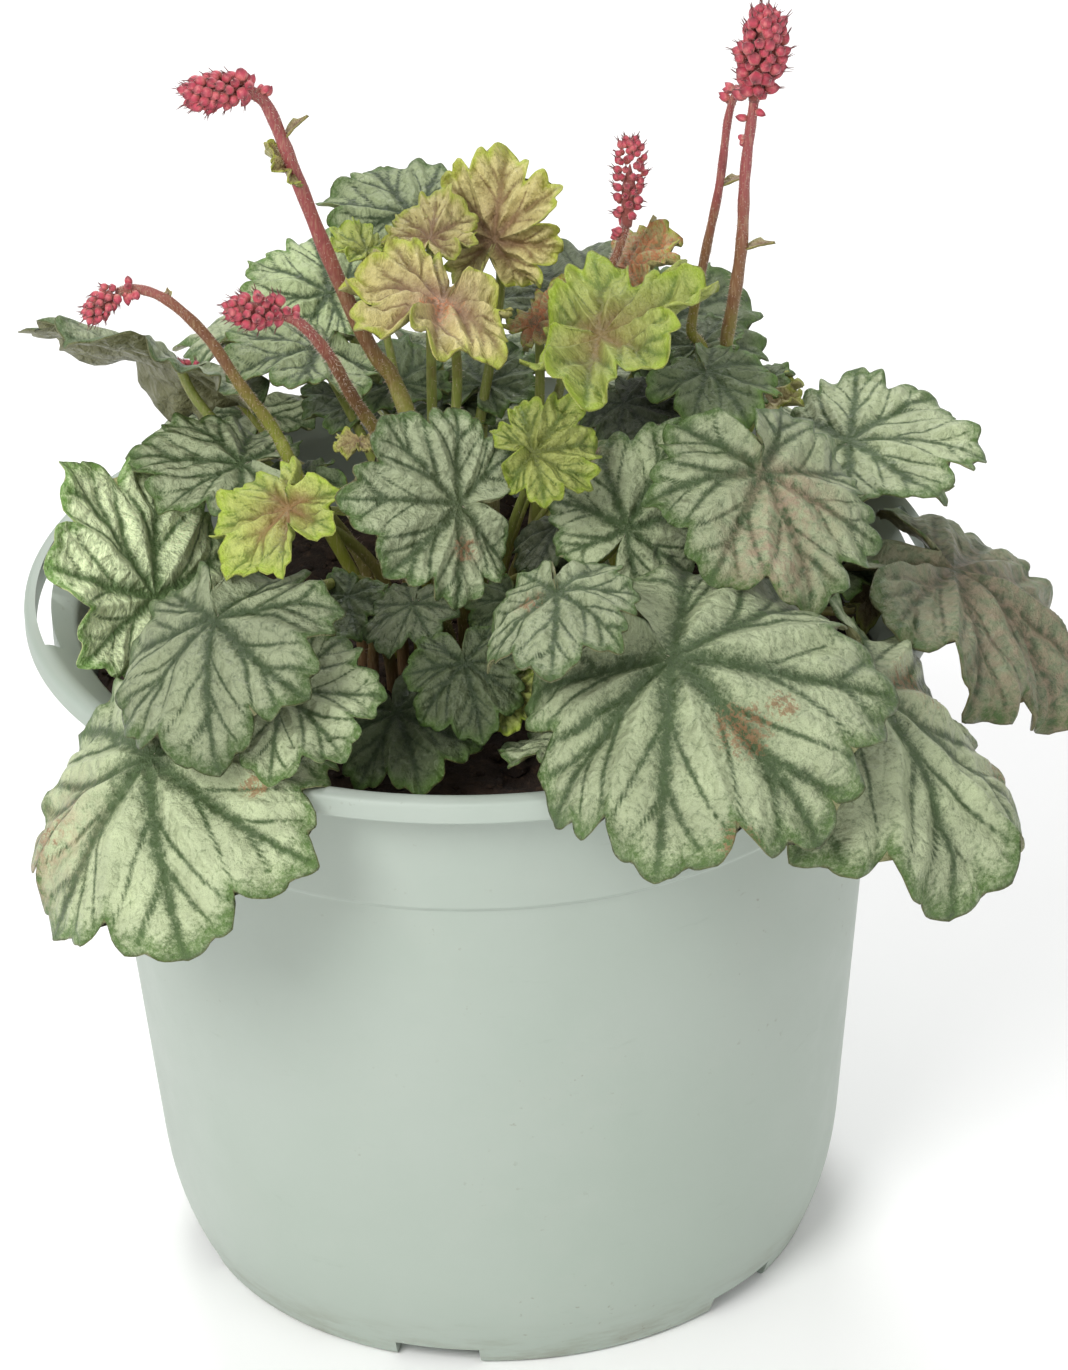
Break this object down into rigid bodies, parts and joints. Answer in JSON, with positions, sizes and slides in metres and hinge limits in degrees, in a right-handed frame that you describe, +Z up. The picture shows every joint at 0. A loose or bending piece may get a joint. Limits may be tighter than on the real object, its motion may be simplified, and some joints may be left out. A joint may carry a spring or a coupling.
{
  "type": "potted heuchera plant",
  "caption": "Potted heuchera: a collar of lobed, silver-veined leaves, yellow-green young leaves on top and crimson budding flower stalks, in soil in a round nursery pot.",
  "frame": {"origin": "on the ground under the middle of the pot, at the pad in the middle of its underside", "axes": "+Z up along the pot's axis; -Y is the side that the picture shows, +X to its right"},
  "size_m": [0.2211, 0.2357, 0.2753],
  "materials": {
    "pot_plastic": "satin, pale sage green",
    "soil": "matte, crumbly",
    "rootstock": "matte bark",
    "leaf_silver": "silvery green with dark green veins",
    "leaf_green": "dark green",
    "leaf_lime": "yellow-green",
    "leaf_bronze": "yellow-green with a purple-brown middle",
    "flower_stalk": "finely hairy, olive to pink-red",
    "flower_buds": "crimson, hairy"
  },
  "bodies": {
    "root": {"pot": "pot_plastic", "soil": "soil", "crown": "rootstock", "leaf_left": "leaf_silver", "leaf_left_front": "leaf_silver", "leaf_left_low": "leaf_silver", "leaf_left_inner": "leaf_silver", "leaf_left_upper": "leaf_silver", "leaf_lime_left": "leaf_lime", "leaf_centre": "leaf_silver", "leaf_lime_centre": "leaf_lime", "leaf_front_middle": "leaf_silver", "leaf_right_large": "leaf_silver", "leaf_right": "leaf_silver", "leaf_right_back": "leaf_silver", "leaf_right_low": "leaf_silver", "leaf_far_right": "leaf_silver", "leaf_shrivelled": "leaf_bronze", "leaf_folded": "leaf_silver", "leaf_grey_middle": "leaf_silver", "leaf_dark_middle": "leaf_green", "leaf_dark_left": "leaf_green", "leaf_front_green": "leaf_green", "leaf_front_low": "leaf_green", "leaf_front_grey": "leaf_silver", "leaf_lime_small": "leaf_lime", "leaf_rim_grey": "leaf_silver", "leaf_lime_back": "leaf_green", "leaf_olive": "leaf_bronze", "leaf_back_left_high": "leaf_green", "leaf_back_left_low": "leaf_green", "leaf_back_top": "leaf_green", "leaf_far_left": "leaf_silver", "leaf_bronze_back": "leaf_bronze", "leaf_bronze_small": "leaf_bronze", "leaf_lime_top": "leaf_lime", "leaf_bronze_top": "leaf_bronze", "leaf_orange": "leaf_bronze", "leaf_lime_right": "leaf_lime", "leaf_back_middle": "leaf_green", "leaf_back_right_high": "leaf_green", "leaf_back_1": "leaf_silver", "leaf_back_2": "leaf_silver", "leaf_back_3": "leaf_silver", "leaf_back_4": "leaf_silver", "leaf_back_5": "leaf_silver", "leaf_back_6": "leaf_silver", "stalk_tall_left": "flower_stalk", "stalk_middle_left": "flower_stalk", "stalk_low_left": "flower_stalk", "stalk_back_left": "flower_stalk", "stalk_short_middle": "flower_stalk", "stalk_tall_right_thin": "flower_stalk", "stalk_tall_right": "flower_stalk", "buds_tall_left": "flower_buds", "buds_middle_left": "flower_buds", "buds_low_left": "flower_buds", "buds_back_left": "flower_buds", "buds_short_middle": "flower_buds", "buds_tall_right": "flower_buds"}
  },
  "joints": []
}
